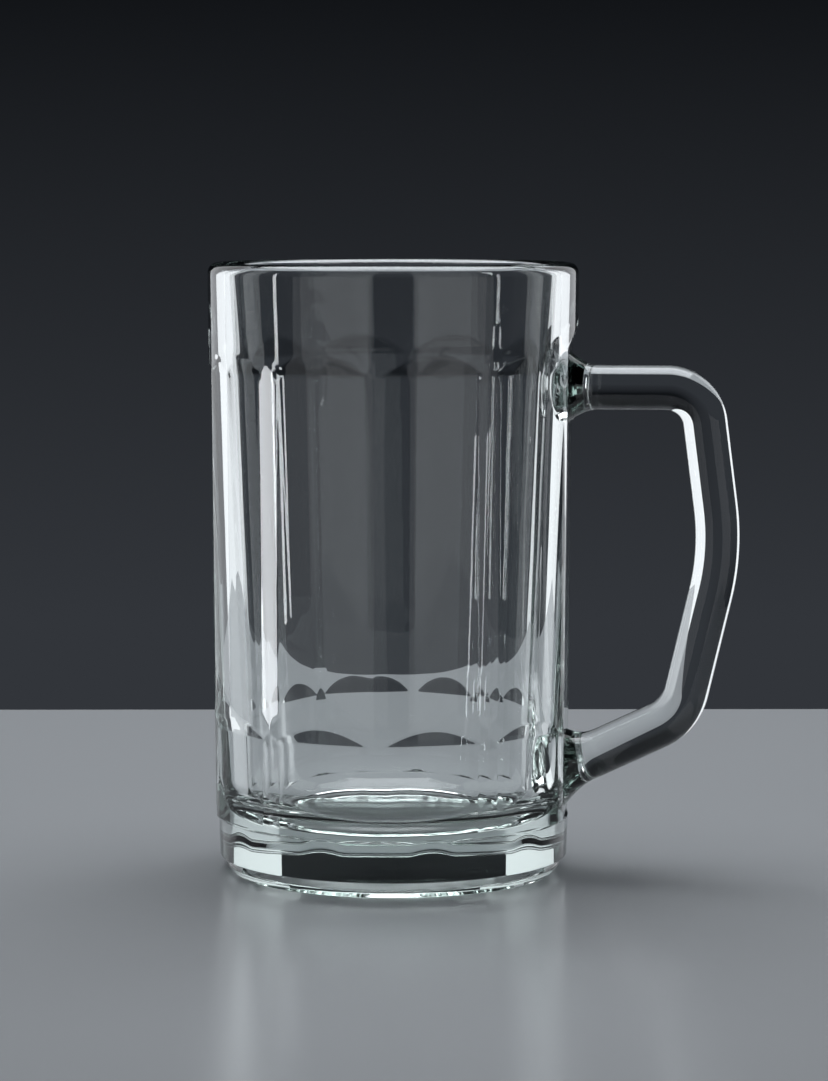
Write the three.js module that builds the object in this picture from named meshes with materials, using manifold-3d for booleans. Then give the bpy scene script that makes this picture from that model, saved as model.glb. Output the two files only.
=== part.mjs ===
// Half-litre beer mug in pressed clear glass: a panelled body with a thick base,
// and a handle that is pressed on its own and fused to one flat land of the body.
// Millimetres, +Z up. The origin is under the middle of the footprint, and the handle points to +X.
import * as THREE from "three";
import { mergeVertices } from "three/addons/utils/BufferGeometryUtils.js";
import Module from "manifold-3d";

const wasm = await Module();
wasm.setup();

// Body, outside
const HEIGHT = 150;
const MOUTH_RADIUS = 45.45;
const BASE_RADIUS = 44.4;

// Base band and the foot under it
const BASE_BAND = 13.6;
const BAND_RADIUS = 43.3;
const BAND_OVERHANG = 0.8;
const HEEL_RADIUS = 43;
const HEEL_HEIGHT = 4;
const FOOT_NECK_RADIUS = 40.8;
const FOOT_RADIUS = 41.6;
const FOOT_CREST_HEIGHT = 2;
const FOOT_BOTTOM_RADIUS = 39.9;
const FOOT_RING_WIDTH = 3.8;
const FOOT_RECESS_DEPTH = 2.5;
const FOOT_RECESS_SLOPE = 1.5;

// Body, inside
const LIP_WALL = 5.2;
const INNER_DRAFT_DEGREES = 2.87;
const FLOOR_THICKNESS = 13;
const FLOOR_CORNER_RADIUS = 10.5;

// Pressed panels: two tiers, each panel gently curved and closed above by a sloped ledge
const PANEL_COUNT = 10;
const RIM_BAND = 21.5;
const LEDGE_HEIGHT = 4.6;
const UPPER_PANEL_DEPTH = 0.62;
const UPPER_PANEL_RADIUS = 64;
const LOWER_TIER_HEIGHT = 40.3;
const LOWER_LEDGE_HEIGHT = 3.6;
const LOWER_PANEL_DEPTH = 1.2;
const LOWER_PANEL_RADIUS = 130;
const BASE_LEDGE_HEIGHT = 0.7;

// Narrow flats down four of the ribs between the panels
const BARRED_RIBS = [1, 3, 6, 8];
const UPPER_BAR_DEPTH = 0.28;
const LOWER_BAR_DEPTH = 0.34;
const BAR_DROP = 1.4;
const BAR_RUNOUT = 2.9;

// Handle: its middle line is a chain of straight runs with rounded corners
const HANDLE_THICKNESS = 10.7;
const HANDLE_WIDTH = 14.5;
const HANDLE_EDGE_RADIUS = 4.8;
const HANDLE_TOP_DROP = 30.4;
const HANDLE_TOP_REACH = 30;
const HANDLE_TOP_CORNER = 9.5;
const GRIP_REACH = 35.15;
const GRIP_HEIGHT = 79.9;
const GRIP_BOW_RADIUS = 60;
const HANDLE_HEEL_REACH = 25.55;
const HANDLE_HEEL_HEIGHT = 39;
const HANDLE_HEEL_CORNER = 13;
const LOWER_ROOT_HEIGHT = 25.6;
const ROOT_FLARE = 3.2;
const ROOT_FLARE_LENGTH = 7;
const LAND_DEPTH = 1.8;
const LAND_MARGIN = 1.5;
const WELD_GAP = 0.3;

// Facets
const BODY_SEGMENTS = 60;
const UPPER_PANEL_SEGMENTS = 60;
const LOWER_PANEL_SEGMENTS = 120;
const LIP_STEPS = 8;
const FLOOR_CORNER_STEPS = 5;
const HANDLE_STATIONS = 44;
const HANDLE_CORNER_STEPS = 4;

const PITCH = (2 * Math.PI) / PANEL_COUNT;
const LIP_RADIUS = LIP_WALL / 2;
const BEYOND_GLASS = 4;

const GLASS = { color: 0xdfe9e6, roughness: 0.05, metalness: 0 };

// The outer wall is one straight taper from just above the base band up to the lip.
function wallRadius(z) {
  const climb = (z - BASE_BAND) / (HEIGHT - LIP_RADIUS - BASE_BAND);
  return BASE_RADIUS + (MOUTH_RADIUS - BASE_RADIUS) * climb;
}

// The handle is fused to a flat land that runs up the body.
function landRadius(z) {
  return wallRadius(z) - LAND_DEPTH;
}

function toSolid(geometry) {
  geometry.deleteAttribute("normal");
  geometry.deleteAttribute("uv");
  const welded = mergeVertices(geometry);
  const index = welded.index.array;
  const triangles = [];
  for (let i = 0; i < index.length; i += 3) {
    const [a, b, c] = [index[i], index[i + 1], index[i + 2]];
    if (a !== b && b !== c && c !== a) triangles.push(a, b, c);
  }
  const mesh = new wasm.Mesh({
    numProp: 3,
    vertProperties: new Float32Array(welded.attributes.position.array),
    triVerts: new Uint32Array(triangles),
  });
  return new wasm.Manifold(mesh);
}

function toGeometry(solid) {
  const mesh = solid.getMesh();
  const geometry = new THREE.BufferGeometry();
  geometry.setAttribute("position", new THREE.BufferAttribute(mesh.vertProperties, 3));
  geometry.setIndex(new THREE.BufferAttribute(mesh.triVerts, 1));
  geometry.computeVertexNormals();
  return geometry;
}

function arcPoints(centreX, centreY, radius, from, to, steps) {
  const points = [];
  for (let i = 0; i <= steps; i += 1) {
    const angle = from + ((to - from) * i) / steps;
    points.push(new THREE.Vector2(centreX + radius * Math.cos(angle), centreY + radius * Math.sin(angle)));
  }
  return points;
}

// Half section of the plain mug, from the middle of the underside round the lip to the middle of the floor.
function bodyProfile() {
  const footInner = FOOT_BOTTOM_RADIUS - FOOT_RING_WIDTH;
  const draft = THREE.MathUtils.degToRad(INNER_DRAFT_DEGREES);
  const lipHeight = HEIGHT - LIP_RADIUS;
  const innerTop = MOUTH_RADIUS - LIP_WALL;
  const cornerHeight = FLOOR_THICKNESS + FLOOR_CORNER_RADIUS * (1 - Math.sin(draft));
  const innerBottom = innerTop - (lipHeight - cornerHeight) * Math.tan(draft);
  const cornerCentre = innerBottom - FLOOR_CORNER_RADIUS * Math.cos(draft);
  return [
    new THREE.Vector2(0, FOOT_RECESS_DEPTH),
    new THREE.Vector2(footInner - FOOT_RECESS_SLOPE, FOOT_RECESS_DEPTH),
    new THREE.Vector2(footInner, 0),
    new THREE.Vector2(FOOT_BOTTOM_RADIUS, 0),
    new THREE.Vector2(FOOT_RADIUS, FOOT_CREST_HEIGHT),
    new THREE.Vector2(FOOT_NECK_RADIUS, HEEL_HEIGHT),
    new THREE.Vector2(HEEL_RADIUS, HEEL_HEIGHT),
    new THREE.Vector2(BAND_RADIUS, BASE_BAND),
    new THREE.Vector2(wallRadius(BASE_BAND + BAND_OVERHANG), BASE_BAND + BAND_OVERHANG),
    ...arcPoints(MOUTH_RADIUS - LIP_RADIUS, lipHeight, LIP_RADIUS, 0, Math.PI, LIP_STEPS),
    ...arcPoints(
      cornerCentre,
      FLOOR_THICKNESS + FLOOR_CORNER_RADIUS,
      FLOOR_CORNER_RADIUS,
      -draft,
      -Math.PI / 2,
      FLOOR_CORNER_STEPS,
    ),
    new THREE.Vector2(0, FLOOR_THICKNESS),
  ];
}

// Outline of a press tool, radius against height: a face that follows the wall, and a slope out at each end.
function toolOutline({ depth, low, lowSlope, high, highSlope }) {
  const outside = Math.max(MOUTH_RADIUS, BASE_RADIUS) + BEYOND_GLASS;
  const lowFace = wallRadius(low) - depth;
  const highFace = wallRadius(high) - depth;
  return [
    [lowFace, low],
    [outside, low - (outside - lowFace) / lowSlope],
    [outside, high + (outside - highFace) / highSlope],
    [highFace, high],
  ];
}

// A flat tool is its outline drawn out sideways and turned to its place.
function flatTool(outline, width, angle) {
  const shape = new THREE.Shape(outline.map(([radius, z]) => new THREE.Vector2(radius, z)));
  const block = new THREE.ExtrudeGeometry(shape, { depth: width, bevelEnabled: false });
  block.translate(0, 0, -width / 2);
  block.rotateX(Math.PI / 2);
  block.rotateZ(angle);
  return toSolid(block);
}

// A curved tool is its outline turned about an axis beyond the mug's own,
// so its face is flatter than the wall.
function curvedTool(outline, curve, segments, angle) {
  const axis = outline[0][0] - curve;
  const loop = [...outline, outline[0]].map(([radius, z]) => new THREE.Vector2(radius - axis, z));
  const ring = new THREE.LatheGeometry(loop, segments);
  ring.rotateX(Math.PI / 2);
  ring.translate(axis, 0, 0);
  ring.rotateZ(angle);
  return toSolid(ring);
}

const upperPanel = {
  depth: UPPER_PANEL_DEPTH,
  low: BASE_BAND,
  lowSlope: Infinity,
  high: HEIGHT - RIM_BAND - LEDGE_HEIGHT,
  highSlope: UPPER_PANEL_DEPTH / LEDGE_HEIGHT,
};
const lowerPanelFoot = BASE_BAND + BASE_LEDGE_HEIGHT;
const lowerPanel = {
  depth: LOWER_PANEL_DEPTH,
  low: lowerPanelFoot,
  lowSlope: (BAND_RADIUS - wallRadius(lowerPanelFoot) + LOWER_PANEL_DEPTH) / BASE_LEDGE_HEIGHT,
  high: LOWER_TIER_HEIGHT - LOWER_LEDGE_HEIGHT,
  highSlope: (LOWER_PANEL_DEPTH - UPPER_PANEL_DEPTH) / LOWER_LEDGE_HEIGHT,
};
const upperBar = {
  depth: UPPER_BAR_DEPTH,
  low: LOWER_TIER_HEIGHT + BAR_RUNOUT,
  lowSlope: UPPER_BAR_DEPTH / BAR_RUNOUT,
  high: upperPanel.high - BAR_DROP,
  highSlope: UPPER_BAR_DEPTH / BAR_RUNOUT,
};
const lowerBar = {
  depth: LOWER_BAR_DEPTH,
  low: BASE_BAND,
  lowSlope: Infinity,
  high: lowerPanel.high - BAR_DROP,
  highSlope: LOWER_BAR_DEPTH / BAR_RUNOUT,
};
const upperRootHeight = HEIGHT - HANDLE_TOP_DROP;
const handleLand = {
  depth: LAND_DEPTH,
  low: lowerPanelFoot,
  lowSlope: (BAND_RADIUS - landRadius(lowerPanelFoot)) / BASE_LEDGE_HEIGHT,
  high: upperRootHeight + HANDLE_THICKNESS / 2 + ROOT_FLARE + LAND_MARGIN,
  highSlope: LAND_DEPTH / LEDGE_HEIGHT,
};

function buildBody() {
  const plain = new THREE.LatheGeometry(bodyProfile(), BODY_SEGMENTS);
  plain.rotateX(Math.PI / 2);
  const toolWidth = 2 * MOUTH_RADIUS * Math.tan(PITCH / 2);
  let body = toSolid(plain);
  for (let i = 0; i < PANEL_COUNT; i += 1) {
    const angle = i * PITCH;
    const upper = curvedTool(toolOutline(upperPanel), UPPER_PANEL_RADIUS, UPPER_PANEL_SEGMENTS, angle);
    const lower = curvedTool(toolOutline(lowerPanel), LOWER_PANEL_RADIUS, LOWER_PANEL_SEGMENTS, angle);
    body = body.subtract(upper).subtract(lower);
  }
  BARRED_RIBS.forEach((rib) => {
    const angle = (rib + 0.5) * PITCH;
    body = body.subtract(flatTool(toolOutline(upperBar), toolWidth, angle));
    body = body.subtract(flatTool(toolOutline(lowerBar), toolWidth, angle));
  });
  return toGeometry(body.subtract(flatTool(toolOutline(handleLand), toolWidth, 0)));
}

// A chain of straight runs in the plane of the handle, each inner corner rounded to its own radius.
function roundedPath(corners) {
  const path = new THREE.Path();
  path.moveTo(corners[0].at.x, corners[0].at.y);
  for (let i = 1; i < corners.length - 1; i += 1) {
    const { at, radius } = corners[i];
    const arriving = at.clone().sub(corners[i - 1].at).normalize();
    const leaving = corners[i + 1].at.clone().sub(at).normalize();
    const turn = Math.acos(arriving.dot(leaving));
    const setback = radius * Math.tan(turn / 2);
    const start = at.clone().addScaledVector(arriving, -setback);
    const centre = start.clone().add(new THREE.Vector2(arriving.y, -arriving.x).multiplyScalar(radius));
    const from = Math.atan2(start.y - centre.y, start.x - centre.x);
    path.lineTo(start.x, start.y);
    path.absarc(centre.x, centre.y, radius, from, from - turn, true);
  }
  const last = corners[corners.length - 1].at;
  path.lineTo(last.x, last.y);
  return path;
}

// Rounded oblong section, listed as offsets across the handle's plane (x) and along its width (y).
function sectionOutline() {
  const across = HANDLE_THICKNESS / 2 - HANDLE_EDGE_RADIUS;
  const along = HANDLE_WIDTH / 2 - HANDLE_EDGE_RADIUS;
  const quarter = Math.PI / 2;
  const radius = HANDLE_EDGE_RADIUS;
  const corner = (x, y, from) => arcPoints(x, y, radius, from, from + quarter, HANDLE_CORNER_STEPS);
  return [
    ...corner(across, along, 0),
    ...corner(-across, along, quarter),
    ...corner(-across, -along, 2 * quarter),
    ...corner(across, -along, 3 * quarter),
  ];
}

// Near each root the section swells into a pad that meets the body's land.
function rootSwell(distance) {
  const nearness = THREE.MathUtils.clamp(1 - distance / ROOT_FLARE_LENGTH, 0, 1);
  return ROOT_FLARE * nearness * nearness;
}

function handlePath() {
  const inside = landRadius(LOWER_ROOT_HEIGHT) - BEYOND_GLASS;
  const corner = (reach, z, radius) => ({ at: new THREE.Vector2(MOUTH_RADIUS + reach, z), radius });
  const heel = corner(HANDLE_HEEL_REACH, HANDLE_HEEL_HEIGHT, HANDLE_HEEL_CORNER);
  const rootRadius = landRadius(LOWER_ROOT_HEIGHT);
  const slope = (heel.at.y - LOWER_ROOT_HEIGHT) / (heel.at.x - rootRadius);
  return roundedPath([
    { at: new THREE.Vector2(inside, upperRootHeight) },
    corner(HANDLE_TOP_REACH, upperRootHeight, HANDLE_TOP_CORNER),
    corner(GRIP_REACH, GRIP_HEIGHT, GRIP_BOW_RADIUS),
    heel,
    { at: new THREE.Vector2(inside, LOWER_ROOT_HEIGHT - slope * (rootRadius - inside)) },
  ]);
}

function handleLoft() {
  const path = handlePath();
  const outline = sectionOutline();
  const positions = [];
  for (let s = 0; s <= HANDLE_STATIONS; s += 1) {
    const middle = path.getPointAt(s / HANDLE_STATIONS);
    const along = path.getTangentAt(s / HANDLE_STATIONS);
    outline.forEach((offset) => {
      const plainX = middle.x + along.y * offset.x;
      const plainZ = middle.y - along.x * offset.x;
      const grow = 1 + rootSwell(plainX - landRadius(plainZ)) / offset.length();
      const across = offset.x * grow;
      positions.push(middle.x + along.y * across, offset.y * grow, middle.y - along.x * across);
    });
  }
  const ring = outline.length;
  const index = [];
  for (let s = 0; s < HANDLE_STATIONS; s += 1) {
    for (let i = 0; i < ring; i += 1) {
      const a = s * ring + i;
      const b = s * ring + ((i + 1) % ring);
      index.push(a, b, a + ring, b, b + ring, a + ring);
    }
  }
  const lastRing = HANDLE_STATIONS * ring;
  for (let i = 1; i < ring - 1; i += 1) {
    index.push(0, i + 1, i, lastRing, lastRing + i, lastRing + i + 1);
  }
  const geometry = new THREE.BufferGeometry();
  geometry.setAttribute("position", new THREE.Float32BufferAttribute(positions, 3));
  geometry.setIndex(index);
  return geometry;
}

// Both roots are trimmed flat, parallel to the land and one weld gap away from it.
function buildHandle() {
  const low = handleLand.low - LEDGE_HEIGHT;
  const high = handleLand.high + LEDGE_HEIGHT;
  const trim = [
    [0, low],
    [landRadius(low) + WELD_GAP, low],
    [landRadius(high) + WELD_GAP, high],
    [0, high],
  ];
  return toGeometry(toSolid(handleLoft()).subtract(flatTool(trim, 2 * MOUTH_RADIUS, 0)));
}

function glassPiece(name, geometry) {
  const piece = new THREE.Mesh(geometry, new THREE.MeshStandardMaterial(GLASS));
  piece.name = name;
  return piece;
}

const mug = new THREE.Group();
mug.name = "beer_mug";
mug.add(glassPiece("mug_body", buildBody()));
mug.add(glassPiece("mug_handle", buildHandle()));

// The part is centred over its footprint, which the handle makes longer on one side of the axis.
const footprint = new THREE.Box3().setFromObject(mug).getCenter(new THREE.Vector3());
mug.children.forEach((piece) => {
  piece.geometry.translate(-footprint.x, 0, 0);
});

export default mug;
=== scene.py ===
"""Half-litre beer mug in pressed clear glass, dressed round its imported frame."""

import math
from functools import partial
from typing import NamedTuple

import bpy
import numpy as np
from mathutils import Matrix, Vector


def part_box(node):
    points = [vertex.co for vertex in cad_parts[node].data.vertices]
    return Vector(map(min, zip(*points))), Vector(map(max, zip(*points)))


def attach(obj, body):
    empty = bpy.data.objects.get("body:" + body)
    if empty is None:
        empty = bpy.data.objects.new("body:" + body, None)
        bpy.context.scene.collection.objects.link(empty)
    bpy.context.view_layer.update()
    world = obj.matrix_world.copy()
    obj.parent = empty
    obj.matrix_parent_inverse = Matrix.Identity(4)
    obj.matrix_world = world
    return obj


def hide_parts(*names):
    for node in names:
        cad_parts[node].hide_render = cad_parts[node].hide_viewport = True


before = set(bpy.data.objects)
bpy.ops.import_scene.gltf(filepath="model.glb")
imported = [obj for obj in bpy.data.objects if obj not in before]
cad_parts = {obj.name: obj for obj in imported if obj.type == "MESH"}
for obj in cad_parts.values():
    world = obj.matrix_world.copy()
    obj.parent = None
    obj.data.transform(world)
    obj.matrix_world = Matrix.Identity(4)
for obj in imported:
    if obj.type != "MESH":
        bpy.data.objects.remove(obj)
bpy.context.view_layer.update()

bl_info = {
    "name": "Pressed glass beer mug",
    "version": (1, 0, 0),
    "blender": (4, 5, 0),
    "location": "View3D > Sidebar > Beer Mug",
    "description": "Builds a panelled glass beer mug with a fused handle, and a small studio round it",
    "category": "Add Mesh",
}

BODY_LOW, BODY_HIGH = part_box("mug_body")
AXIS_X = (BODY_LOW.x + BODY_HIGH.x) / 2
AXIS = Vector((AXIS_X, 0, 0))
MM = 0.001

# Ribs with a narrow flat, counted in panels from the handle to either side
BARRED_RIBS = (1.5, 3.5)

# A radius or a slope that is beyond any glass
BEYOND = 1.0

# Millimetres from the end of a straight run to its guard row, which keeps the run's shading flat
BODY_GUARD = 0.12
HANDLE_GUARD = 0.2

# Glass within this distance of the handle's land counts as the land's own surface
LAND_SKIN = 0.3 * MM

# Fineness of the meshes, as the number of faces across each form
PANEL_STEPS = 50
SOFT_EDGE_STEPS = 3
FINE_EDGE_STEPS = 5
CREST_STEPS = 8
LIP_STEPS = 16
FLOOR_CORNER_STEPS = 16
ROOT_STEPS = 12
TOP_CORNER_STEPS = 28
GRIP_STEPS = 14
HEEL_CORNER_STEPS = 18
BAR_EDGE_STEPS = 10

# Rise of the line of sight over which the backdrop fades from its lighter to its darker end
BACKDROP_FADE = (-0.12, 0.06)

# Width of the camera's sensor in millimetres
SENSOR_MM = 36.0

# Height of the point that all the lights are turned to
LIGHT_AIM = 0.09

# Surfaces that light can pass in a row before it is given up
GLASS_BOUNCES = 24
MIRROR_BOUNCES = 12
CLEAR_BOUNCES = 16


class SoftLight(NamedTuple):
    """A softbox: its bearing from the camera round the mug, its place and size in metres, and its power."""

    name: str
    degrees: float
    distance: float
    height: float
    width: float
    tall: float
    watts: float


RIM = {"distance": 0.75, "height": 0.2, "width": 0.385, "tall": 1.0, "watts": 1.4}
FILL = {"distance": 1.2, "height": -0.115, "width": 1.1, "tall": 0.67, "watts": 1.08}
STRIP = {"distance": 0.75, "height": -0.018, "width": 0.032, "tall": 0.19, "watts": 0.2}
TOP = {"distance": 0.2, "height": 0.85, "width": 0.9, "tall": 0.7, "watts": 8.4}
LIGHTS = (
    SoftLight("left_rim_softbox", degrees=-138.5, **RIM),
    SoftLight("left_fill_softbox", degrees=-39, **FILL),
    SoftLight("right_rim_softbox", degrees=138.5, **RIM),
    SoftLight("right_fill_softbox", degrees=39, **FILL),
    SoftLight("left_strip_light", degrees=-83, **STRIP),
    SoftLight("top_softbox", degrees=180, **TOP),
)


def linear(hex_code):
    """The linear colour of an sRGB hex code."""
    parts = [int(hex_code[i : i + 2], 16) / 255 for i in (1, 3, 5)]
    return tuple(c / 12.92 if c <= 0.04045 else ((c + 0.055) / 1.055) ** 2.4 for c in parts)


def length(label, millimetres, note):
    """A length setting whose default is given in millimetres."""
    return bpy.props.FloatProperty(
        name=label,
        description=note,
        default=millimetres * MM,
        subtype="DISTANCE",
        unit="LENGTH",
        precision=5,
    )


def angle(label, degrees, note):
    """An angle setting whose default is given in degrees."""
    return bpy.props.FloatProperty(
        name=label, description=note, default=math.radians(degrees), subtype="ANGLE", unit="ROTATION"
    )


def colour(label, hex_code, note):
    """A colour setting whose default is given as an sRGB hex code."""
    return bpy.props.FloatVectorProperty(
        name=label, description=note, default=linear(hex_code), size=3, min=0, max=1, subtype="COLOR"
    )


class MugBodySizes(bpy.types.PropertyGroup):
    """Sizes of the glass body."""

    height: length("Height", BODY_HIGH.z / MM, "From the table to the top of the lip")
    mouth_radius: length("Mouth radius", BODY_HIGH.y / MM, "Outside radius just under the lip")
    base_radius: length("Base radius", 44.4, "Outside radius of the wall just above the base band")
    base_band: length("Base band", 13.6, "Plain glass from the table up to the panels")
    band_radius: length("Band radius", 43.3, "Outside radius at the top of the base band")
    overhang: length("Overhang height", 0.8, "Height over which the wall steps out above the base band")
    heel_radius: length("Heel radius", 43, "Outside radius at the bottom of the base band")
    heel_height: length("Heel height", 4, "Height of the bottom of the base band")
    neck_radius: length("Foot neck radius", 40.8, "Outside radius of the groove under the base band")
    foot_radius: length("Foot radius", 41.6, "Outside radius of the foot at its crest")
    crest_height: length("Foot crest height", 2, "Height of that crest")
    crest_edge: length("Foot crest rounding", 0.6, "Radius that the crest is rounded to")
    foot_bottom: length("Foot bottom radius", 39.9, "Outside radius of the ring that the mug stands on")
    foot_ring: length("Foot ring width", 3.8, "Width of the flat ring that the mug stands on")
    recess: length("Foot recess", 2.5, "Depth of the hollow inside the foot ring")
    recess_slope: length("Recess slope", 1.5, "Width of the slope into the hollow")
    lip_wall: length("Lip wall", 5.2, "Thickness of the wall at the lip, which is fully rounded")
    floor: length("Floor", 13, "Thickness of the glass under the drink")
    floor_corner: length("Floor corner", 10.5, "Radius where the inside wall meets the floor")
    draft: angle("Inner draft", 2.87, "How far the inside wall leans out from upright")
    panels: bpy.props.IntProperty(name="Panels", description="Panels round the body", default=10, min=6)
    rim_band: length("Rim band", 21.5, "Plain glass from the lip down to the panels' arches")
    ledge: length("Ledge height", 4.6, "Height of the sloped ledge that closes each upper panel above")
    upper_depth: length("Upper panel depth", 0.62, "How far the upper panels are pressed in")
    upper_curve: length("Upper panel radius", 64, "Radius that the upper panels are curved to")
    tier_height: length("Lower tier height", 40.3, "Height of the arches of the lower panels")
    lower_ledge: length("Lower ledge height", 3.6, "Height of the ledge that closes each lower panel")
    lower_depth: length("Lower panel depth", 1.2, "How far the lower panels are pressed in")
    lower_curve: length("Lower panel radius", 130, "Radius that the lower panels are curved to")
    base_ledge: length("Base ledge height", 0.7, "Height of the short ledge above the base band")
    upper_bar: length("Upper bar depth", 0.28, "How far a narrow flat is pressed into four upper ribs")
    lower_bar: length("Lower bar depth", 0.34, "The same for the ribs of the lower tier")
    bar_drop: length("Bar drop", 1.4, "From the top of a panel down to where a narrow flat fades out")
    bar_runout: length("Bar runout", 2.9, "Height over which a narrow flat fades out")
    land_depth: length("Land depth", 1.8, "How far the flat land under the handle is pressed in")
    base_flat: length("Base flat depth", 0.04, "Depth of the faint flats in the base band")
    polish: length("Edge melt", 0.04, "How far fire polishing has melted the pressed edges")
    rib_melt: length("Rib melt", 0.25, "How far it has melted the plain ribs between the panels")
    edge: length("Edge radius", 0.45, "Rounding of the turned edges at the heel and the foot")


class MugHandleSizes(bpy.types.PropertyGroup):
    """Sizes of the glass handle."""

    thickness: length("Thickness", 10.7, "Across the bar, in the plane of the handle")
    width: length("Width", 14.5, "Along the finger, square to that plane")
    edge: length("Edge radius", 4.8, "Rounding of the bar's four edges")
    top_drop: length("Top drop", 30.4, "From the lip down to the middle of the upper run")
    top_reach: length("Top reach", 30.0, "Upper corner, out from the mouth")
    top_corner: length("Top corner", 9.5, "Radius of the upper corner")
    grip_reach: length("Grip reach", 35.13, "Furthest point of the grip, out from the mouth")
    grip_height: length("Grip height", 79.9, "Height of that point")
    grip_bow: length("Grip bow", 60, "Radius of the bow of the grip")
    heel_reach: length("Heel reach", 25.55, "Lower corner, out from the mouth")
    heel_height: length("Heel height", 39, "Height of the lower corner")
    heel_corner: length("Heel corner", 13, "Radius of the lower corner")
    root_height: length("Lower root height", 25.6, "Height where the lower run meets the body")
    flare: length("Root flare", 3.2, "How far each root swells where it is fused")
    flare_length: length("Flare length", 7, "Length of that swelling")
    land_margin: length("Land margin", 1.5, "Flat left above the upper root")
    sink: length("Sink", 0.4, "How far the fused root runs into the body's glass")


class MugLook(bpy.types.PropertyGroup):
    """Finish of the glass."""

    clear: colour("Clear glass", "#FBFCFC", "What one surface lets through")
    deep: colour("Deep glass", "#8FC4B4", "Tint that builds up through thick glass")
    density: bpy.props.FloatProperty(
        name="Tint density", description="How fast the tint builds up, per metre", default=4.5, min=0
    )
    ior: bpy.props.FloatProperty(name="Refractive index", description="Soda-lime glass", default=1.52)
    wave_length: length("Wave length", 14, "Spacing of the faint waves that the press leaves in the glass")
    wave_height: length("Wave height", 0.4, "Height of those waves at full strength")
    wave_strength: bpy.props.FloatProperty(
        name="Wave strength", description="How much of that height shows", default=0.04, subtype="FACTOR"
    )


class MugStage(bpy.types.PropertyGroup):
    """Camera, floor and lights."""

    floor: colour("Floor", "#B2B5B8", "Plain pale grey table top")
    floor_roughness: bpy.props.FloatProperty(
        name="Floor roughness", description="Dullness of the table's sheen", default=0.22, subtype="FACTOR"
    )
    light: colour("Light", "#F2F5F9", "Cool white of the softboxes")
    backdrop: colour("Backdrop", "#32353A", "Plain dark studio behind the table")
    backdrop_top: colour("Backdrop, above", "#101215", "The same studio, fading upwards")
    camera_distance: length("Camera distance", 874, "From the mug's axis, level with the table")
    camera_height: length("Camera height", 168, "Above the table")
    camera_turn: angle("Camera turn", 5.5, "Round the mug, towards the handle")
    aim_height: length("Aim height", 81.5, "Height of the middle of the picture, at the mug")
    aim_side: length("Aim side", 5.1, "How far the middle of the picture lies beside the mug's axis")
    lens: bpy.props.FloatProperty(
        name="Lens", description="Focal length in millimetres", default=118.56, unit="CAMERA"
    )
    table_half: length("Table half size", 268, "From the mug's axis to each edge of the table")
    table_thickness: length("Table thickness", 40, "Thickness of the table top")


def start_piece(name, add_primitive, **settings):
    """Adds a primitive by itself, named and with nothing else selected, and opens it in edit mode."""
    if bpy.context.object and bpy.context.object.mode != "OBJECT":
        bpy.ops.object.mode_set(mode="OBJECT")
    bpy.ops.object.select_all(action="DESELECT")
    add_primitive(**settings)
    piece = bpy.context.object
    piece.name = name
    piece.data.name = name
    bpy.ops.object.mode_set(mode="EDIT")
    return piece


def finish_piece(piece, material, node):
    """Closes a modelled piece, moves it out to the mug's axis and seats it in place of its plain solid."""
    bpy.ops.mesh.select_all(action="SELECT")
    bpy.ops.transform.translate(value=AXIS)
    bpy.ops.mesh.normals_make_consistent(inside=False)
    bpy.ops.object.mode_set(mode="OBJECT")
    bpy.ops.object.transform_apply(location=True, rotation=True, scale=True)
    bpy.ops.object.shade_smooth()
    piece.data.materials.clear()
    piece.data.materials.append(material)
    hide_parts(node)
    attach(piece, "root")


def add_node(tree, kind, settings=None, values=None, links=None):
    """Adds a node, sets its properties and input values, and links sockets of other nodes to its inputs."""
    node = tree.nodes.new(kind)
    for key, value in (settings or {}).items():
        setattr(node, key, value)
    for key, value in (values or {}).items():
        node.inputs[key].default_value = value
    for key, socket in (links or {}).items():
        tree.links.new(socket, node.inputs[key])
    return node


def maths(tree, operation, first, second):
    """A Math node's result; each input is a number or another node's socket."""
    values = {i: v for i, v in enumerate((first, second)) if isinstance(v, (int, float))}
    links = {i: v for i, v in enumerate((first, second)) if not isinstance(v, (int, float))}
    return add_node(tree, "ShaderNodeMath", {"operation": operation}, values, links).outputs[0]


def arc(centre_r, centre_z, radius, start, stop, steps):
    """Points of an arc, without its first one."""
    turns = [start + (stop - start) * i / steps for i in range(1, steps + 1)]
    return [(centre_r + radius * math.cos(t), centre_z + radius * math.sin(t)) for t in turns]


def rounded(before, corner, after, radius, steps):
    """Points of a small fillet that rounds one corner of a half section."""
    corner = Vector(corner)
    come = (corner - Vector(before)).normalized()
    leave = (Vector(after) - corner).normalized()
    turn = math.atan2(come.x * leave.y - come.y * leave.x, come.dot(leave))
    cut = radius * math.tan(abs(turn) / 2)
    side = math.copysign(radius, turn)
    middle = corner - come * cut + Vector((-come.y, come.x)) * side
    first = math.atan2(come.y, come.x)
    turns = [first + turn * i / steps for i in range(steps + 1)]
    return [(middle.x + side * math.sin(t), middle.y - side * math.cos(t)) for t in turns]


def straight(start, stop):
    """Guard points just inside the ends of a straight run, or none if the run is too short for them."""
    start, stop = Vector(start), Vector(stop)
    near = (stop - start).normalized() * BODY_GUARD * MM
    if (stop - start).length < 4 * near.length:
        return []
    return [tuple(start + near), tuple(stop - near)]


def wall_radius(sizes, z):
    """Outside radius of the plain wall, which tapers straight from the lip to the base band."""
    climb = (z - sizes.base_band) / (sizes.height - sizes.lip_wall / 2 - sizes.base_band)
    return sizes.base_radius + (sizes.mouth_radius - sizes.base_radius) * climb


def band_radius(sizes, z):
    """Outside radius of the base band, which tapers faster than the wall above it."""
    climb = (z - sizes.heel_height) / (sizes.base_band - sizes.heel_height)
    return sizes.heel_radius + (sizes.band_radius - sizes.heel_radius) * climb


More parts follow.
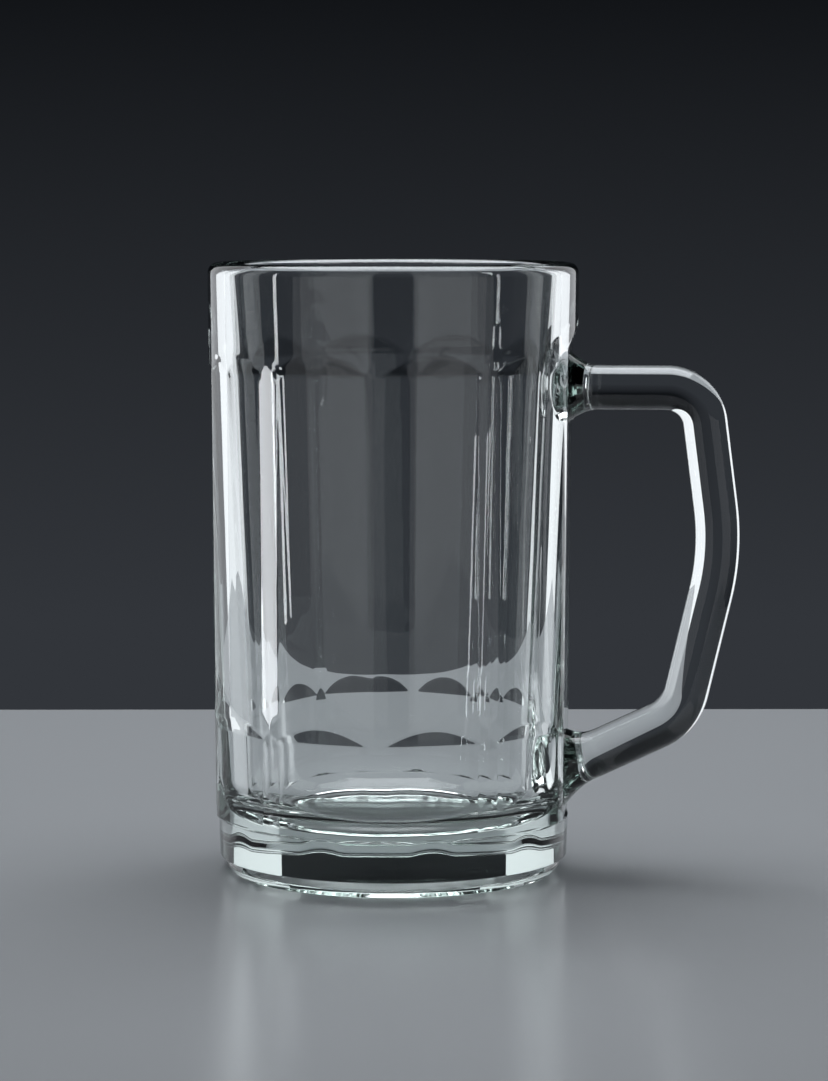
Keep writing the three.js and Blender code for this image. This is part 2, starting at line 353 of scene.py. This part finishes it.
def panel_tops(sizes, handle):
    """Height where the faces of the lower panels, the upper panels and the handle's land end."""
    lower = sizes.tier_height - sizes.lower_ledge
    upper = sizes.height - sizes.rim_band - sizes.ledge
    land = sizes.height - handle.top_drop + handle.thickness / 2 + handle.flare + handle.land_margin
    return lower, upper, land


def base_points(sizes, wall_top):
    """Underside, foot and base band of the half section, up to where the wall begins."""
    foot_inner = sizes.foot_bottom - sizes.foot_ring
    fine = sizes.edge / 2
    bends = (
        ((foot_inner - sizes.recess_slope, sizes.recess), sizes.edge, SOFT_EDGE_STEPS),
        ((foot_inner, 0), sizes.edge, SOFT_EDGE_STEPS),
        ((sizes.foot_bottom, 0), fine, FINE_EDGE_STEPS),
        ((sizes.foot_radius, sizes.crest_height), sizes.crest_edge, CREST_STEPS),
        ((sizes.neck_radius, sizes.heel_height), fine, FINE_EDGE_STEPS),
        ((sizes.heel_radius, sizes.heel_height), fine, FINE_EDGE_STEPS),
        ((sizes.band_radius, sizes.base_band), fine, FINE_EDGE_STEPS),
        ((sizes.base_radius, sizes.base_band + sizes.overhang), fine, FINE_EDGE_STEPS),
    )
    points = [(0, sizes.recess)]
    chain = points + [bend[0] for bend in bends] + [wall_top]
    for before, (corner, radius, steps), after in zip(chain, bends, chain[2:]):
        bend = rounded(before, corner, after, radius, steps)
        points += straight(points[-1], bend[0]) + bend
    return points


def wall_points(sizes, handle, start_z, lip_z):
    """Rows up the outside wall, close together where the panels and the narrow flats end."""
    lower, upper, land = panel_tops(sizes, handle)
    near = 1.0 * MM
    stops = (
        (sizes.base_band + sizes.base_ledge + near, 6),
        (lower - sizes.bar_drop - near, 5),
        (sizes.tier_height + near, 26),
        (sizes.tier_height + sizes.bar_runout + near, 8),
        (upper - sizes.bar_drop - near, 8),
        (land + sizes.ledge + near, 32),
        (lip_z - near / 8, 3),
        (lip_z, 1),
    )
    points = []
    z = start_z
    for stop, rows in stops:
        for row in range(1, rows + 1):
            level = z + (stop - z) * row / rows
            points.append((wall_radius(sizes, level), level))
        z = stop
    return points


def body_profile(sizes, handle):
    """Half section of the plain body, from the underside's middle round the lip to the floor's middle."""
    lip = sizes.lip_wall / 2
    lip_z = sizes.height - lip
    inner_top = sizes.mouth_radius - sizes.lip_wall
    corner_z = sizes.floor + sizes.floor_corner * (1 - math.sin(sizes.draft))
    inner_low = inner_top - (lip_z - corner_z) * math.tan(sizes.draft)
    centre_r = inner_low - sizes.floor_corner * math.cos(sizes.draft)
    centre_z = sizes.floor + sizes.floor_corner
    points = base_points(sizes, (sizes.mouth_radius, lip_z))
    points += wall_points(sizes, handle, points[-1][1], lip_z)
    points += arc(sizes.mouth_radius - lip, lip_z, lip, 0, math.pi, LIP_STEPS)
    points += straight(points[-1], (inner_low, corner_z)) + [(inner_low, corner_z)]
    points += arc(centre_r, centre_z, sizes.floor_corner, -sizes.draft, -math.pi / 2, FLOOR_CORNER_STEPS)
    points += straight(points[-1], (0, sizes.floor)) + [(0, sizes.floor)]
    return points


class PressTool(NamedTuple):
    """A press tool: how deep it cuts, the heights where its face ends, and how it slopes out from there."""

    depth: float
    low: float
    low_slope: float
    high: float
    high_slope: float


def face_radius(sizes, tool, z):
    """Distance of a tool's face from the axis: level with the wall's taper, sloping out at each end."""
    within = np.clip(z, tool.low, tool.high)
    sloped = np.maximum(tool.low - z, 0) * tool.low_slope + np.maximum(z - tool.high, 0) * tool.high_slope
    return wall_radius(sizes, within) - tool.depth + sloped


def curved_radius(sizes, tool, z, curve, off):
    """The same for a face bent round an axis beyond the mug's own, flatter than the wall but not flat."""
    axis = curve - wall_radius(sizes, sizes.base_band) + tool.depth
    face = face_radius(sizes, tool, z)
    return np.sqrt((face + axis) ** 2 - (axis * np.sin(off)) ** 2) - axis * np.cos(off)


def smooth_least(a, b, melt):
    """The lesser of two surfaces, with the edge between them melted over a small height."""
    near = np.maximum(melt - np.abs(a - b), 0) / melt
    return np.minimum(a, b) - near * near * melt / 4


def panel_faces(sizes, handle, z, panel, off_panel):
    """Distance of the panels' faces from the axis: both tiers, and the land that the handle is fused to."""
    lower, upper, land = panel_tops(sizes, handle)
    foot = sizes.base_band + sizes.base_ledge
    step = (sizes.band_radius - wall_radius(sizes, foot)) / sizes.base_ledge
    high_tool = PressTool(
        sizes.upper_depth, sizes.base_band, BEYOND, upper, sizes.upper_depth / sizes.ledge
    )
    low_tool = PressTool(
        sizes.lower_depth,
        foot,
        step + sizes.lower_depth / sizes.base_ledge,
        lower,
        (sizes.lower_depth - sizes.upper_depth) / sizes.lower_ledge,
    )
    land_tool = PressTool(
        sizes.land_depth,
        foot,
        step + sizes.land_depth / sizes.base_ledge,
        land,
        sizes.land_depth / sizes.ledge,
    )
    high = curved_radius(sizes, high_tool, z, sizes.upper_curve, off_panel)
    low = curved_radius(sizes, low_tool, z, sizes.lower_curve, off_panel)
    on_land = np.where(panel == 0, face_radius(sizes, land_tool, z) / np.cos(off_panel), BEYOND)
    return smooth_least(smooth_least(high, low, sizes.polish), on_land, sizes.polish)


def rib_faces(sizes, handle, z, panel, off_panel):
    """Distance of the narrow flats from the axis on the barred ribs, and beyond the glass on the others."""
    lower, upper, _ = panel_tops(sizes, handle)
    pitch = 2 * math.pi / sizes.panels
    off_rib = pitch / 2 - np.abs(off_panel)
    rib_angle = np.abs(panel * pitch + np.where(off_panel < 0, -pitch / 2, pitch / 2))
    rib_angle = np.minimum(rib_angle, 2 * math.pi - rib_angle)
    barred = np.min([np.abs(rib_angle - rib * pitch) for rib in BARRED_RIBS], axis=0) < pitch / 4
    fade = sizes.upper_bar / sizes.bar_runout
    upper_tool = PressTool(
        sizes.upper_bar, sizes.tier_height + sizes.bar_runout, fade, upper - sizes.bar_drop, fade
    )
    lower_tool = PressTool(
        sizes.lower_bar,
        sizes.base_band,
        BEYOND,
        lower - sizes.bar_drop,
        sizes.lower_bar / sizes.bar_runout,
    )
    bars = np.minimum(face_radius(sizes, upper_tool, z), face_radius(sizes, lower_tool, z))
    base_strip = np.where(z < sizes.base_band, band_radius(sizes, z) - sizes.base_flat, BEYOND)
    return np.where(barred, np.minimum(bars, base_strip) / np.cos(off_rib), BEYOND)


def gather_columns(off, half):
    """Moves evenly spaced columns towards the edge between a panel and its rib, where the form turns."""
    edge = 0.82
    spread = 0.1
    crowd = 3.0
    samples = 400
    share = np.linspace(0, 1, samples)
    density = 1 + crowd * np.exp(-(((share - edge) / spread) ** 2))
    run = np.concatenate([[0], np.cumsum((density[1:] + density[:-1]) / 2)])
    return np.sign(off) * half * np.interp(np.abs(off) / half, run / run[-1], share)


def press_panels(mesh, sizes, handle):
    """Presses the panels, the narrow flats and the handle's land into the plain turned body."""
    place = np.empty(len(mesh.vertices) * 3)
    mesh.vertices.foreach_get("co", place)
    place = place.reshape(-1, 3)
    radius = np.hypot(place[:, 0], place[:, 1])
    z = place[:, 2]
    pitch = 2 * math.pi / sizes.panels
    bearing = np.arctan2(place[:, 1], place[:, 0])
    panel = np.round(bearing / pitch)
    off_panel = gather_columns(bearing - panel * pitch, pitch / 2)
    bearing = panel * pitch + off_panel
    flats = panel_faces(sizes, handle, z, panel, off_panel)
    ribs = rib_faces(sizes, handle, z, panel, off_panel)
    _, upper, _ = panel_tops(sizes, handle)
    fading = np.clip((upper - z) / sizes.ledge, 0, 1)
    melt = sizes.polish + (sizes.rib_melt - sizes.polish) * fading
    pressed = smooth_least(radius, smooth_least(flats, ribs, sizes.polish), melt)
    on_axis = radius < MM
    pressed = np.where(on_axis, radius, pressed)
    place[:, 0] = pressed * np.cos(bearing)
    place[:, 1] = pressed * np.sin(bearing)
    mesh.vertices.foreach_set("co", place.ravel())
    mesh.update()


def land_line(sizes):
    """The handle's land as a line in the handle's plane: distance from the axis at the table, and slope."""
    foot = wall_radius(sizes, 0) - sizes.land_depth
    return foot, wall_radius(sizes, 1) - wall_radius(sizes, 0)


def root_swell(handle, distance):
    """How far a root has swelled at a distance from the body."""
    return handle.flare * min(1, max(0, 1 - distance / handle.flare_length) ** 2)


def lower_slant(sizes, handle):
    """Angle between the lower run and the normal of the land that it meets."""
    foot, slope = land_line(sizes)
    run = sizes.mouth_radius + handle.heel_reach - foot - slope * handle.root_height
    return math.atan2(handle.heel_height - handle.root_height, run) + math.atan(slope)


def root_pads(sizes, handle):
    """Height of each fused root, and how much wider and taller its pad is than the bar's section."""
    wider = 1 + handle.flare / (handle.width / 2)
    slant = math.cos(lower_slant(sizes, handle))
    upper = 1 + handle.flare / (handle.thickness / 2)
    lower = 1 / slant + handle.flare / (handle.thickness / 2)
    return wider, ((sizes.height - handle.top_drop, upper), (handle.root_height, lower))


def land_level(tree, axes, slope):
    """Distance along X at which the land's slope, drawn through a point of the glass, meets the table."""
    return maths(tree, "SUBTRACT", axes["X"], maths(tree, "MULTIPLY", axes["Z"], slope))


def past_core(tree, distance, scale, core):
    """Square of how far a point lies past the straight part of one side of the bar's section."""
    shrunk = maths(tree, "MULTIPLY", maths(tree, "ABSOLUTE", distance, 0), 1 / scale)
    past = maths(tree, "MAXIMUM", maths(tree, "SUBTRACT", shrunk, core), 0)
    return maths(tree, "MULTIPLY", past, past)


def body_mask(tree, where, sizes, handle):
    """1 on the body's glass, 0 on the patches where the handle is fused to it."""
    axes = add_node(tree, "ShaderNodeSeparateXYZ", links={"Vector": where}).outputs
    foot, slope = land_line(sizes)
    wider, pads = root_pads(sizes, handle)
    across = past_core(tree, axes["Y"], wider, handle.width / 2 - handle.edge)
    fused = 0
    for height, taller in pads:
        offset = maths(tree, "SUBTRACT", axes["Z"], height)
        along = past_core(tree, offset, taller, handle.thickness / 2 - handle.edge)
        inside = maths(tree, "LESS_THAN", maths(tree, "ADD", across, along), handle.edge**2)
        fused = maths(tree, "MAXIMUM", fused, inside)
    on_land = maths(tree, "GREATER_THAN", land_level(tree, axes, slope), AXIS_X + foot - LAND_SKIN)
    return maths(tree, "SUBTRACT", 1, maths(tree, "MULTIPLY", fused, on_land))


def handle_mask(tree, where, sizes):
    """1 on the handle's glass, 0 on the ends that have run into the body."""
    axes = add_node(tree, "ShaderNodeSeparateXYZ", links={"Vector": where}).outputs
    foot, slope = land_line(sizes)
    return maths(tree, "GREATER_THAN", land_level(tree, axes, slope), AXIS_X + foot)


def glass_material(name, look, fused_mask):
    """Pressed soda-lime glass, fire polished: clear and glossy, faintly wavy, green where it is thick."""
    material = bpy.data.materials.new(name)
    material.use_nodes = True
    tree = material.node_tree
    tree.nodes.clear()
    where = add_node(tree, "ShaderNodeTexCoord").outputs["Object"]
    wave = add_node(
        tree,
        "ShaderNodeTexNoise",
        values={"Scale": 1 / look.wave_length, "Detail": 1.0},
        links={"Vector": where},
    )
    bump = add_node(
        tree,
        "ShaderNodeBump",
        values={"Strength": look.wave_strength, "Distance": look.wave_height},
        links={"Height": wave.outputs["Fac"]},
    )
    shader = add_node(
        tree,
        "ShaderNodeBsdfPrincipled",
        values={
            "Base Color": (*look.clear, 1),
            "Roughness": 0.0,
            "IOR": look.ior,
            "Transmission Weight": 1.0,
        },
        links={"Normal": bump.outputs["Normal"], "Alpha": fused_mask(tree, where)},
    )
    tint = add_node(
        tree, "ShaderNodeVolumeAbsorption", values={"Color": (*look.deep, 1), "Density": look.density}
    )
    add_node(
        tree,
        "ShaderNodeOutputMaterial",
        links={"Surface": shader.outputs["BSDF"], "Volume": tint.outputs["Volume"]},
    )
    return material


class MUG_OT_body(bpy.types.Operator):
    """Turn the mug's body from its half section and press its panels"""

    bl_idname = "mug.body"
    bl_label = "Glass body"

    def execute(self, context):
        """Draws the half section point by point, spins it and presses the panels."""
        sizes = context.scene.mug_body
        handle = context.scene.mug_handle
        points = body_profile(sizes, handle)
        piece = start_piece(
            "glass_body",
            bpy.ops.mesh.primitive_plane_add,
            size=MM,
            location=(points[0][0], 0, points[0][1]),
        )
        bpy.ops.mesh.merge(type="CENTER")
        for (r0, z0), (r1, z1) in zip(points, points[1:]):
            bpy.ops.mesh.extrude_vertices_move(TRANSFORM_OT_translate={"value": (r1 - r0, 0, z1 - z0)})
        bpy.ops.object.mode_set(mode="OBJECT")
        bpy.ops.object.transform_apply(location=True, rotation=True, scale=True)
        turn = piece.modifiers.new("turn", "SCREW")
        turn.steps = turn.render_steps = PANEL_STEPS * sizes.panels
        turn.use_merge_vertices = True
        turn.merge_threshold = MM / 1000
        bpy.ops.object.modifier_apply(modifier=turn.name)
        press_panels(piece.data, sizes, handle)
        bpy.ops.object.mode_set(mode="EDIT")
        mask = partial(body_mask, sizes=sizes, handle=handle)
        glass = glass_material("pressed soda-lime glass, body", context.scene.mug_look, mask)
        finish_piece(piece, glass, "mug_body")
        return {"FINISHED"}


class Station(NamedTuple):
    """A section of the handle: its place and heading, and how much wider and taller than the bar it is."""

    x: float
    z: float
    heading: float
    wide: float
    tall: float


def bend_stations(before, corner, after, radius, steps):
    """Stations round one bend of the handle, with a guard station on the straight run at each end."""
    come = (corner - before).normalized()
    leave = (after - corner).normalized()
    first = math.atan2(come.y, come.x)
    turn = math.atan2(come.x * leave.y - come.y * leave.x, come.dot(leave))
    cut = radius * math.tan(abs(turn) / 2)
    middle = corner - come * cut + Vector((come.y, -come.x)) * radius
    guard = cut + HANDLE_GUARD * MM
    stations = [Station(*(corner - come * guard), first, 1, 1)]
    for step in range(steps + 1):
        heading = first + turn * step / steps
        place = middle + radius * Vector((-math.sin(heading), math.cos(heading)))
        stations.append(Station(*place, heading, 1, 1))
    stations.append(Station(*(corner + leave * guard), first + turn, 1, 1))
    return stations


def handle_path(sizes, handle):
    """Stations along the handle, from its upper root round the grip to its lower root."""
    foot, slope = land_line(sizes)
    lean = math.atan(slope)
    half_width = handle.width / 2
    half_thick = handle.thickness / 2
    top_z = sizes.height - handle.top_drop
    low_z = handle.root_height
    mouth = sizes.mouth_radius
    start = Vector((foot + slope * top_z, top_z))
    end = Vector((foot + slope * low_z, low_z))
    bends = (
        (Vector((mouth + handle.top_reach, top_z)), handle.top_corner, TOP_CORNER_STEPS),
        (Vector((mouth + handle.grip_reach, handle.grip_height)), handle.grip_bow, GRIP_STEPS),
        (Vector((mouth + handle.heel_reach, handle.heel_height)), handle.heel_corner, HEEL_CORNER_STEPS),
    )
    depths = [handle.flare_length * (i / ROOT_STEPS) ** 1.5 for i in range(ROOT_STEPS + 1)]
    stations = []
    for depth in [-handle.sink] + depths:
        swell = root_swell(handle, depth)
        ease = -lean * (1 - max(depth, 0) / handle.flare_length)
        place = start + Vector((depth, 0))
        stations.append(Station(*place, ease, 1 + swell / half_width, 1 + swell / half_thick))
    corners = [start] + [bend[0] for bend in bends] + [end]
    for before, (corner, radius, steps), after in zip(corners, bends, corners[2:]):
        stations += bend_stations(before, corner, after, radius, steps)
    slant = lower_slant(sizes, handle)
    run = (end - corners[-2]).normalized()
    facing = -math.pi - lean
    stretch = 1 / math.cos(slant)
    for depth in depths[::-1] + [-handle.sink]:
        swell = root_swell(handle, depth)
        place = end - run * (depth / math.cos(slant))
        stations.append(Station(*place, facing, 1 + swell / half_width, stretch + swell / half_thick))
    return stations


class MUG_OT_handle(bpy.types.Operator):
    """Draw the handle's bar along its bowed path and flare its two fused roots"""

    bl_idname = "mug.handle"
    bl_label = "Glass handle"

    def execute(self, context):
        """Extrudes a rounded section from station to station, turning and swelling it on the way."""
        sizes = context.scene.mug_body
        handle = context.scene.mug_handle
        stations = handle_path(sizes, handle)
        root = stations[0]
        centre = (root.x, 0, root.z)
        piece = start_piece(
            "glass_handle",
            bpy.ops.mesh.primitive_plane_add,
            size=1,
            location=centre,
            rotation=(0, math.pi / 2, 0),
        )
        bpy.ops.transform.resize(value=(1, handle.width, handle.thickness), center_override=centre)
        bpy.ops.mesh.bevel(offset=handle.edge, segments=BAR_EDGE_STEPS, affect="VERTICES")
        bpy.ops.transform.resize(value=(1, root.wide, root.tall), center_override=centre)
        bpy.ops.transform.rotate(value=root.heading, orient_axis="Y", center_override=centre)
        for before, after in zip(stations, stations[1:]):
            step = (after.x - before.x, 0, after.z - before.z)
            growth = (1, after.wide / before.wide, after.tall / before.tall)
            centre = (after.x, 0, after.z)
            bpy.ops.mesh.extrude_region_move(TRANSFORM_OT_translate={"value": step})
            bpy.ops.transform.rotate(
                value=after.heading - before.heading, orient_axis="Y", center_override=centre
            )
            bpy.ops.transform.resize(value=growth, center_override=centre)
        mask = partial(handle_mask, sizes=sizes)
        glass = glass_material("pressed soda-lime glass, handle", context.scene.mug_look, mask)
        finish_piece(piece, glass, "mug_handle")
        return {"FINISHED"}


def stage_sides(stage):
    """The directions on the table that lie to the camera's right and straight away from it."""
    turn = stage.camera_turn
    return Vector((math.cos(turn), math.sin(turn), 0)), Vector((-math.sin(turn), math.cos(turn), 0))


def turn_to(thing, target):
    """Turns a light or a camera to face a point."""
    thing.rotation_euler = (thing.location - target).to_track_quat("Z", "Y").to_euler()


def add_table(stage):
    """A thick slab under the mug, square to the camera."""
    table = start_piece(
        "table_top",
        bpy.ops.mesh.primitive_cube_add,
        size=1,
        location=(AXIS_X, 0, -stage.table_thickness / 2),
        rotation=(0, 0, stage.camera_turn),
        scale=(2 * stage.table_half, 2 * stage.table_half, stage.table_thickness),
    )
    bpy.ops.object.mode_set(mode="OBJECT")
    bpy.ops.object.transform_apply(location=True, rotation=True, scale=True)
    # Honed pale stone: an even mid grey with a dull sheen that stretches the mug's reflection
    material = bpy.data.materials.new("honed pale stone")
    material.use_nodes = True
    shader = material.node_tree.nodes["Principled BSDF"]
    shader.inputs["Base Color"].default_value = (*stage.floor, 1)
    shader.inputs["Roughness"].default_value = stage.floor_roughness
    table.data.materials.append(material)


def add_light(scene, stage, soft):
    """A softbox turned to the mug, which lights it and shows in it but not in the picture itself."""
    light = bpy.data.lights.new(soft.name, "AREA")
    light.shape = "RECTANGLE"
    light.size = soft.width
    light.size_y = soft.tall
    light.energy = soft.watts
    light.color = stage.light
    lamp = bpy.data.objects.new(soft.name, light)
    right, away = stage_sides(stage)
    bearing = math.radians(soft.degrees)
    out = right * math.sin(bearing) - away * math.cos(bearing)
    lamp.location = AXIS + soft.distance * out + Vector((0, 0, soft.height))
    turn_to(lamp, AXIS + Vector((0, 0, LIGHT_AIM)))
    lamp.visible_camera = False
    scene.collection.objects.link(lamp)


def add_backdrop(scene, stage):
    """A plain dark studio, a little lighter behind the table than above it."""
    world = bpy.data.worlds.new("dark studio")
    world.use_nodes = True
    tree = world.node_tree
    up = add_node(tree, "ShaderNodeTexCoord").outputs["Generated"]
    height = add_node(tree, "ShaderNodeSeparateXYZ", links={"Vector": up}).outputs["Z"]
    low, high = BACKDROP_FADE
    fade = add_node(
        tree, "ShaderNodeMapRange", values={"From Min": low, "From Max": high}, links={"Value": height}
    )
    mix = add_node(
        tree,
        "ShaderNodeMix",
        {"data_type": "RGBA"},
        {"A": (*stage.backdrop, 1), "B": (*stage.backdrop_top, 1)},
        {"Factor": fade.outputs["Result"]},
    )
    tree.links.new(mix.outputs["Result"], tree.nodes["Background"].inputs["Color"])
    scene.world = world


def add_camera(scene, stage):
    """The photograph's camera, and enough bounces for light to find its way through the glass."""
    camera = bpy.data.cameras.new("photo_camera")
    camera.lens = stage.lens
    camera.sensor_width = SENSOR_MM
    rig = bpy.data.objects.new("photo_camera", camera)
    right, away = stage_sides(stage)
    rig.location = AXIS - away * stage.camera_distance + Vector((0, 0, stage.camera_height))
    turn_to(rig, AXIS + right * stage.aim_side + Vector((0, 0, stage.aim_height)))
    scene.collection.objects.link(rig)
    scene.camera = rig
    scene.view_settings.view_transform = "Standard"
    scene.cycles.max_bounces = GLASS_BOUNCES
    scene.cycles.transmission_bounces = GLASS_BOUNCES
    scene.cycles.glossy_bounces = MIRROR_BOUNCES
    scene.cycles.transparent_max_bounces = CLEAR_BOUNCES


class MUG_OT_stage(bpy.types.Operator):
    """Set up the table, the dark backdrop, the soft lights and the camera"""

    bl_idname = "mug.stage"
    bl_label = "Studio"

    def execute(self, context):
        """Makes the stage, which isn't part of the object."""
        scene = context.scene
        stage = scene.mug_stage
        add_table(stage)
        for soft in LIGHTS:
            add_light(scene, stage, soft)
        add_backdrop(scene, stage)
        add_camera(scene, stage)
        return {"FINISHED"}


class MUG_PT_sidebar(bpy.types.Panel):
    """Settings of the mug, each group above the button that builds from it"""

    bl_idname = "MUG_PT_sidebar"
    bl_label = "Pressed Glass Beer Mug"
    bl_space_type = "VIEW_3D"
    bl_region_type = "UI"
    bl_category = "Beer Mug"

    def draw(self, context):
        """Draws one box for each group of settings."""
        scene = context.scene
        boxes = (
            (scene.mug_look, None),
            (scene.mug_body, MUG_OT_body),
            (scene.mug_handle, MUG_OT_handle),
            (scene.mug_stage, MUG_OT_stage),
        )
        for group, operator in boxes:
            box = self.layout.box()
            for key in type(group).__annotations__:
                box.prop(group, key)
            if operator:
                box.operator(operator.bl_idname)


CLASSES = (
    MugBodySizes,
    MugHandleSizes,
    MugLook,
    MugStage,
    MUG_OT_body,
    MUG_OT_handle,
    MUG_OT_stage,
    MUG_PT_sidebar,
)


def register():
    """Adds the classes to Blender and their settings to each scene."""
    for cls in CLASSES:
        bpy.utils.register_class(cls)
    bpy.types.Scene.mug_body = bpy.props.PointerProperty(type=MugBodySizes)
    bpy.types.Scene.mug_handle = bpy.props.PointerProperty(type=MugHandleSizes)
    bpy.types.Scene.mug_look = bpy.props.PointerProperty(type=MugLook)
    bpy.types.Scene.mug_stage = bpy.props.PointerProperty(type=MugStage)


def unregister():
    """Takes the settings and the classes out again."""
    del bpy.types.Scene.mug_stage
    del bpy.types.Scene.mug_look
    del bpy.types.Scene.mug_handle
    del bpy.types.Scene.mug_body
    for cls in reversed(CLASSES):
        bpy.utils.unregister_class(cls)


def main():
    """Builds the mug and its stage."""
    register()
    bpy.ops.mug.body()
    bpy.ops.mug.handle()
    bpy.ops.mug.stage()


if __name__ == "__main__":
    main()
